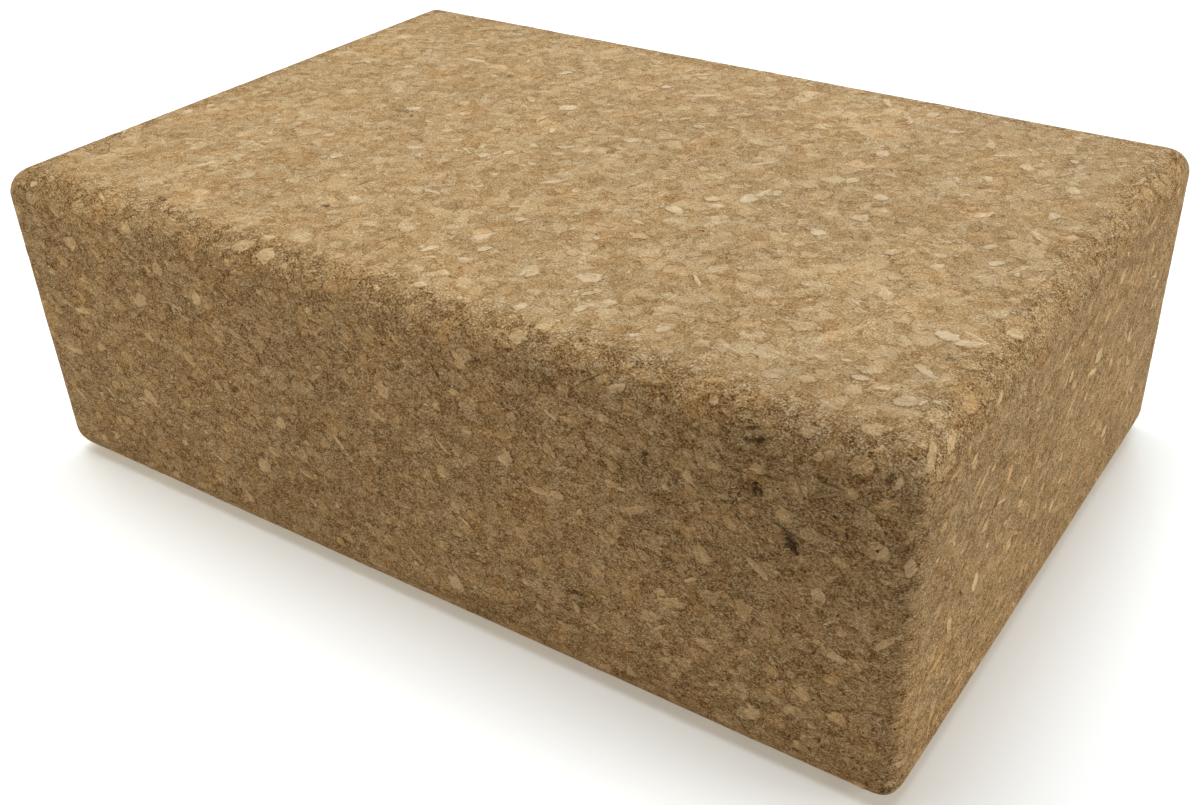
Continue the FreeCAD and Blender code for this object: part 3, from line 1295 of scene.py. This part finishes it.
        # Painted sheen: chips on the top and the bottom are paler.
        paler = build.math("MULTIPLY_ADD", self.painted_sheen(build, place), self.cork.skin_chips, tone.outputs["Fac"])
        shade = build.math("MULTIPLY_ADD", line, finish.streaks, paler)
        own = build.ramp(shade, list(finish.colours))
        own = build.group(self.ageing_shade_and_sheen, {"Vector": place, "Color": own}).outputs[0]
        tear = build.math("SUBTRACT", build.noise(place, finish.tear, detail=3.0, roughness=0.65).outputs[0], 0.5)
        reach = build.math("MULTIPLY_ADD", tear, finish.ragged, inset.outputs["Fac"])
        cover = build.remap(reach, *finish.rim)
        share = build.lerp(tone.outputs["Fac"], *finish.cover)
        colour = build.mix(build.math("MULTIPLY", cover, share), mosaic.outputs["Color"], own)
        part = build.remap(build.noise(place, 0.3, detail=1.0).outputs[0], 0.46, 0.60)
        ring = build.math("MULTIPLY", build.math("MULTIPLY", build.remap(reach, 0.98, 0.88),
                                                 build.remap(reach, 0.74, 0.84)), part)
        colour = build.mix(build.math("MULTIPLY", ring, finish.seam), colour, self.cork.seam_and_hollow_shade)
        # Painted shade inside the pits.
        colour = build.mix(build.math("MULTIPLY", pit.outputs["Fac"], 0.7), colour, self.cork.seam_and_hollow_shade)
        level = build.math("MULTIPLY_ADD", line, 0.8, 0.55)
        height = build.lerp(cover, mosaic.outputs["Height"], level)
        height = build.math("MULTIPLY_ADD", ring, -0.4, height)
        self.finish(build, shader, colour, height, finish.roughness)
        return material

    def finish(self, build: TreeBuilder, shader: bpy.types.Node, colour: Any, height: Any, roughness: float) -> None:
        """Wire a material's colour, bump and roughness to its shader.

        Args:
            build: The material's builder.
            shader: Its Principled BSDF.
            colour: The base colour.
            height: The bump's height.
            roughness: The mean roughness.
        """
        build.feed(shader.inputs["Base Color"], colour)
        rough = build.remap(height, 0.0, 1.0, roughness + 0.06, roughness - 0.06)
        build.feed(shader.inputs["Roughness"], rough)
        bump = build.node("ShaderNodeBump", {"Height": height, "Strength": 1.0, "Distance": self.cork.bump_height})
        build.feed(shader.inputs["Normal"], bump.outputs[0])


@dataclass(frozen=True)
class Softbox:
    """A square soft lamp that looks at the block, in metres and watts."""

    name: str
    place: tuple[float, float, float]
    size: float
    power: float
    colour: tuple[float, float, float]


class Studio:
    """The plain floor, the soft light and the camera at the photograph's angle."""

    image_size = (1200.0, 805.0)
    sensor_mm = 36.0
    azimuth = math.radians(33.65)
    elevation = math.radians(32.48)
    roll = math.radians(-1.18)
    focal_px = 1374.2
    aim_px = (651.9, 409.1)
    aim_offset = Vector((-0.0513, 0.1111, -1.4614))
    floor_size = 12.0
    floor_drop = 0.4 * MM
    floor_colour = (0.7, 0.7, 0.7, 1.0)
    floor_glow_colour = (1.0, 0.94, 0.82, 1.0)
    floor_glow = 0.28
    world_strength = 0.1
    world_colour = (1.0, 1.0, 1.0, 1.0)
    lamps = (
        Softbox("overhead", (-0.1, 0.15, 1.45), 1.0, 23.6, (0.86, 0.92, 1.0)),
        Softbox("left_above", (-0.9, 0.0, 1.1), 0.8, 6.8, (0.95, 1.0, 1.0)),
        Softbox("behind", (-0.3, 1.6, 0.6), 0.8, 19.0, (0.8, 0.97, 1.0)),
        Softbox("right_side", (1.5, 0.5, 0.25), 0.6, 17.2, (1.0, 1.0, 0.9)),
        Softbox("left_front", (-0.55, -0.4, 0.2), 0.35, 1.57, (1.0, 0.91, 0.62)),
    )

    def __init__(self, form: BlockForm) -> None:
        """Keep the form that the camera looks at."""
        self.form = form

    def camera(self) -> None:
        """Place the camera."""
        back = Vector((math.sin(self.azimuth) * math.cos(self.elevation),
                       -math.cos(self.azimuth) * math.cos(self.elevation), math.sin(self.elevation)))
        right = Vector((math.cos(self.azimuth), math.sin(self.azimuth), 0.0))
        up = back.cross(right)
        cosine, sine = math.cos(self.roll), math.sin(self.roll)
        rows = Matrix((right * cosine + up * sine, up * cosine - right * sine, back))
        data = bpy.data.cameras.new("camera")
        data.sensor_width = self.sensor_mm
        width, height = self.image_size
        data.lens = self.focal_px / width * self.sensor_mm
        data.shift_x = (width / 2 - self.aim_px[0]) / width
        data.shift_y = (self.aim_px[1] - height / 2) / width
        data.clip_start = 0.01
        camera = bpy.data.objects.new("camera", data)
        turn = rows.transposed()
        offset = turn @ self.aim_offset * (2 * self.form.half.x)
        camera.matrix_world = Matrix.Translation(self.form.centre - offset) @ turn.to_4x4()
        bpy.context.scene.collection.objects.link(camera)
        bpy.context.scene.camera = camera

    def light(self, softbox: Softbox) -> None:
        """Place a lamp.

        Args:
            softbox: The lamp.
        """
        data = bpy.data.lights.new(softbox.name, "AREA")
        data.size = softbox.size
        data.energy = softbox.power
        data.color = softbox.colour
        place = Vector(softbox.place)
        lamp = bpy.data.objects.new(softbox.name, data)
        lamp.location = place
        lamp.visible_camera = False
        lamp.rotation_euler = (self.form.centre - place).to_track_quat("-Z", "Y").to_euler()
        bpy.context.scene.collection.objects.link(lamp)

    def floor(self) -> None:
        """Lay the plain pale floor."""
        mesh = bmesh.new()
        bmesh.ops.create_grid(mesh, x_segments=1, y_segments=1, size=self.floor_size / 2)
        data = bpy.data.meshes.new("floor")
        mesh.to_mesh(data)
        mesh.free()
        data.transform(Matrix.Translation((0, 0, -self.floor_drop)))
        material = bpy.data.materials.new("floor")
        material.use_nodes = True
        shader = next(node for node in material.node_tree.nodes if node.type == "BSDF_PRINCIPLED")
        shader.inputs["Base Color"].default_value = self.floor_colour
        shader.inputs["Roughness"].default_value = 0.9
        shader.inputs["Emission Color"].default_value = self.floor_glow_colour
        shader.inputs["Emission Strength"].default_value = self.floor_glow
        data.materials.append(material)
        floor = bpy.data.objects.new("floor", data)
        bpy.context.scene.collection.objects.link(floor)

    def build(self) -> None:
        """Set the whole studio up."""
        self.camera()
        self.floor()
        for softbox in self.lamps:
            self.light(softbox)
        world = bpy.data.worlds.new("studio")
        world.use_nodes = True
        world.node_tree.nodes["Background"].inputs["Color"].default_value = self.world_colour
        world.node_tree.nodes["Background"].inputs["Strength"].default_value = self.world_strength
        bpy.context.scene.world = world
        bpy.context.scene.view_settings.view_transform = "Standard"


PALE_FINISH = GranuleFinish("pale_cork", (
    (0.0, (0.26, 0.148, 0.056, 1)),
    (0.5, (0.43, 0.287, 0.144, 1)),
    (1.0, (0.55, 0.402, 0.232, 1))), (0.4, 0.6), 2.2, 1.3, 0.3, 0.84)
TAN_FINISH = GranuleFinish("tan_cork", (
    (0.0, (0.18, 0.096, 0.035, 1)),
    (0.5, (0.34, 0.200, 0.080, 1)),
    (1.0, (0.48, 0.305, 0.142, 1))), (0.4, 0.6), 2.2, 1.3, 0.3, 0.86)
BARK_FINISH = GranuleFinish("cork_bark", (
    (0.0, (0.09, 0.043, 0.013, 1)),
    (0.5, (0.19, 0.098, 0.032, 1)),
    (1.0, (0.32, 0.182, 0.069, 1))), (0.45, 0.55), 2.2, 1.5, 0.3, 0.9)
SMALL_FINISH = GranuleFinish("small_cork_granules", (
    (0.0, (0.18, 0.096, 0.035, 1)),
    (0.25, (0.30, 0.174, 0.068, 1)),
    (0.6, (0.40, 0.245, 0.105, 1)),
    (0.9, (0.46, 0.308, 0.157, 1)),
    (1.0, (0.53, 0.378, 0.213, 1))), (0.4, 0.5), 2.0, 1.3, 0.2, 0.86)
SLIVER_FINISH = GranuleFinish("cork_slivers", (
    (0.0, (0.20, 0.108, 0.040, 1)),
    (0.5, (0.405, 0.255, 0.115, 1)),
    (1.0, (0.54, 0.382, 0.213, 1))), (0.4, 0.6), 2.4, 1.3, 0.3, 0.86)
# Painted shade in thin torn cracks: dark brown colours.
SPLIT_SHADE_FINISH = GranuleFinish("painted_split_shade", (
    (0.0, (0.080, 0.042, 0.016, 1)),
    (0.5, (0.130, 0.070, 0.027, 1)),
    (1.0, (0.210, 0.118, 0.047, 1))), (0.6, 0.7), 0.8, 2.0, 0.0, 0.92, 1.5, (0.95, 0.65))
# Painted shade in cracks: near-black colours.
CRACK_SHADE_FINISH = GranuleFinish("painted_crack_shade", (
    (0.0, (0.014, 0.007, 0.003, 1)),
    (0.5, (0.060, 0.031, 0.012, 1)),
    (1.0, (0.170, 0.095, 0.037, 1))), (0.95, 0.75), 2.6, 3.2, 0.0, 0.92, 1.8, (0.95, 0.62))


# Painted shade in cracks: near-black chips laid on the surface where cracks show dark.
SEEN_CRACK_SHADES = (
    Mark((84, -76, 71.2), (1.9, 0, 0.7), 0.9, 0.45), Mark((83.5, -76, 73.5), (1.2, 0, 0.5), 0.8, 0.3),
    Mark((87, -76, 65), (3.2, 0, 0.5), 0.6, 0.8), Mark((84.7, -76, 61.5), (0.9, 0, -1.3), 1.6, 0.8),
    Mark((91.5, -76, 53), (1.3, 0, -2.0), 1.8, 0.2), Mark((90.5, -76, 55.5), (2.8, 0, -1.0), 0.6, 0.3),
    Mark((101.5, -76, 59), (0.2, 0, -1.3), 0.6, 0.3), Mark((107, -76, 58), (0.4, 0, 0.3), 0.8, 0.2),
    Mark((62.5, -76, 61), (1.0, 0, 0), 0.9, 0.4), Mark((78.5, -76, 57), (2.4, 0, 1), 0.5, 0.5),
    Mark((15, -76, 63), (1.1, 0, -1.9), 0.7, 0.3), Mark((25.7, -76, 68.5), (1.1, 0, 0.4), 0.9, 0.2),
    Mark((51, -76, 72.5), (3.0, 0, 2.6), 0.5, 0.9), Mark((42, -76, 69.5), (1.6, 0, -1.6), 0.6, 0.7),
    Mark((63, -75, 75), (3.3, 0.8, 0), 0.8, 0.9), Mark((45, -76, 22), (2.8, 0, 0.3), 1.3, 0.3),
    Mark((112, -76, 5), (0.8, 0, 0), 1.6, 0.0), Mark((114.3, -41, 48), (0, 1.8, 1.9), 0.6, 0.4),
    Mark((114.3, -38.5, 55), (0, 0.9, 0.5), 0.9, 0.5), Mark((41, -21.5, 76), (0.7, 0.2, 0), 1.0, 0.5),
    Mark((-34.5, -52, 76), (0.9, 0.3, 0), 1.3, 0.6), Mark((-59, 0, 76), (2.6, 0.6, 0), 1.6, 1.0),
    Mark((107.7, -76, 72.6), (0.2, 0, 1.6), 1.2, 0.6), Mark((96.8, -76, 66), (1.6, 0, 0.3), 0.9, 0.6),
    Mark((99.4, -76, 61.8), (0.6, 0, 0.3), 0.9, 0.3), Mark((113.5, -75.5, 67.5), (0.6, 0.3, 0.3), 1.0, 0.8),
)
SEEN_CHIPS = (
    Mark((37, -55.5, 76), (1.4, 2.2, 0), 1.6, 0.7), Mark((39, -61.5, 76), (0.6, 1.8, 0), 2.2, 0.9),
    Mark((56, -60, 76), (0.5, 1.8, 0), 3.0, 0.8), Mark((53, -64.5, 76), (0.9, 0.9, 0), 1.6, 1.0),
    Mark((-1.5, -56.5, 76), (0.8, 2.2, 0), 2.4, 0.8), Mark((8, -51, 76), (0.8, 2, 0), 2.4, 0.8),
    Mark((23, -55, 76), (0.7, 1.7, 0), 1.8, 0.7), Mark((34, -75, 76), (2.8, 0.4, 0.4), 3.6, 0.6),
    Mark((-37, -74, 76), (3, 2, 0), 4.0, 0.7), Mark((113, -70, 76), (1.5, -4, -1), 2.2, 0.6),
    Mark((114, -64, 75), (0, 2.5, 1), 2.2, 0.6), Mark((114.3, -56, 67), (0, 1.5, 0.3), 2.2, 0.7),
    Mark((74, -76, 43.5), (1.5, 0, -2.6), 4.2, 0.3), Mark((92, -76, 64), (1.7, 0, -2.6), 2.8, 0.3),
    Mark((67.5, -76, 29.5), (3.6, 0, 0.5), 2.6, 0.6), Mark((101.5, -76, 32.5), (2.7, 0, 0), 1.8, 0.7),
    Mark((110, -76, 40), (2.6, 0, 3), 1.8, 0.6), Mark((95.5, -76, 72), (1.1, 0, 0.6), 1.8, 0.8),
    Mark((103, -76, 73), (2, 0, 2), 3.8, 0.4), Mark((107, -76, 58), (2.2, 0, 1.5), 4.6, 0.5),
    Mark((93.5, -57, 76), (1.8, 0.5, 0), 2.0, 0.8), Mark((103, -60, 76), (2.4, 1.2, 0), 4.0, 0.6),
    Mark((98, -58, 76), (1.6, 1, 0), 2.2, 0.6), Mark((89, -53, 76), (1.2, 0.4, 0), 1.2, 0.9),
    Mark((102, -70, 76), (2.2, 1, 0), 4.0, 0.5), Mark((92.5, -75, 76), (1.6, 0, 0.6), 3.0, 0.5),
    Mark((75, -75, 76), (1, 0.3, 0.3), 2.0, 0.8), Mark((42.5, -76, 44.5), (2, 0, 0.3), 2.4, 0.6),
    Mark((110, -29, 76), (1.8, 1, 0), 3.4, 0.8), Mark((104.5, -37, 76), (2.8, 1.4, 0), 3.6, 0.7),
    Mark((65, 12, 76), (1.8, 1, 0), 3.8, 0.8), Mark((87, 15, 76), (1.4, 2.8, 0), 2.4, 0.6),
    Mark((97, -5, 76), (1.6, 1.2, 0), 3.0, 0.7), Mark((114.3, -3, 55), (0, 1.5, 1), 2.8, 0.8),
    Mark((4, -47, 76), (2, 1, 0), 3.0, 0.8), Mark((32.5, -50.5, 76), (1.8, 1.4, 0), 2.6, 0.8),
    Mark((34.5, -7, 76), (1.8, 1, 0), 3.0, 0.8), Mark((-10, 1, 76), (2.2, 1.4, 0), 2.4, 0.7),
    Mark((-40, -17, 76), (2.2, 1.2, 0), 3.0, 0.7), Mark((109.5, -76, 72), (0.3, 0, 1.4), 1.8, 0.9),
    Mark((105.5, -58.8, 76), (0.3, 1.3, 0), 1.0, 0.9),
)


def main() -> None:
    """Build the block's pieces in order, dress them and set the studio."""
    logging.basicConfig(level=logging.INFO, format="%(name)s: %(message)s")
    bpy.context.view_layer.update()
    form = BlockForm.from_frame("cork_matrix")
    log.info("block %s mm, edge radius %.2f mm", [round(side / MM, 1) for side in form.half * 2], form.edge_radius / MM)
    surface = CorkSurface(form)
    finishes = CorkFinishes(CorkFinish(), form)
    Studio(form).build()
    MatrixSkin(surface, finishes.matrix()).build()
    small = finishes.granules(SMALL_FINISH)
    SmallGranules("medium_granules", surface, small, 6.0 * MM, 2.0 * MM, 4.6 * MM, (0.4, 0.95), 7, 0.86,
                  0.12 * MM, 0.04 * MM, 0.8 * MM, 11).build()
    SmallGranules("fine_granules", surface, small, 3.9 * MM, 0.9 * MM, 2.2 * MM, (0.35, 0.95), 6, 0.0,
                  0.10 * MM, 0.06 * MM, 0.4 * MM, 23).build()
    SmallGranules("cork_slivers", surface, finishes.granules(SLIVER_FINISH), 13.0 * MM, 4.0 * MM, 9.0 * MM,
                  (0.18, 0.34), 8, 0.8, 0.12 * MM, 0.05 * MM, 0.6 * MM, 37).build()
    # Thin dark slits scattered over the block: painted shade in torn cracks.
    SmallGranules("torn_cracks", surface, finishes.granules(SPLIT_SHADE_FINISH), 14.0 * MM, 1.2 * MM, 5.0 * MM,
                  (0.12, 0.3), 8, 0.8, 0.12 * MM, 0.03 * MM, 0.6 * MM, 41).build()
    settle = settle_tree(surface, "coarse_granules_settle", 0.15 * MM, 0.06 * MM)
    chips = {GranuleKind.PALE: PALE_FINISH, GranuleKind.TAN: TAN_FINISH, GranuleKind.BARK: BARK_FINISH}
    for kind, finish in chips.items():
        material = finishes.granules(finish)
        for place in PLACES:
            CoarseGranules(place, kind, surface, material, settle).build()
    settle_marks = settle_tree(surface, "seen_marks_settle", 0.12 * MM, 0.08 * MM)
    Marks("seen_chips", SEEN_CHIPS, surface, finishes.granules(PALE_FINISH), settle_marks, Slot.PALE, 0.12).build()
    # Painted shade in the listed cracks.
    settle_crack_shades = settle_tree(surface, "seen_crack_shades_settle", 0.12 * MM, 0.11 * MM)
    Marks("seen_cracks", SEEN_CRACK_SHADES, surface, finishes.granules(CRACK_SHADE_FINISH), settle_crack_shades, Slot.BARK, 0.3).build()


if __name__ == "__main__":
    main()
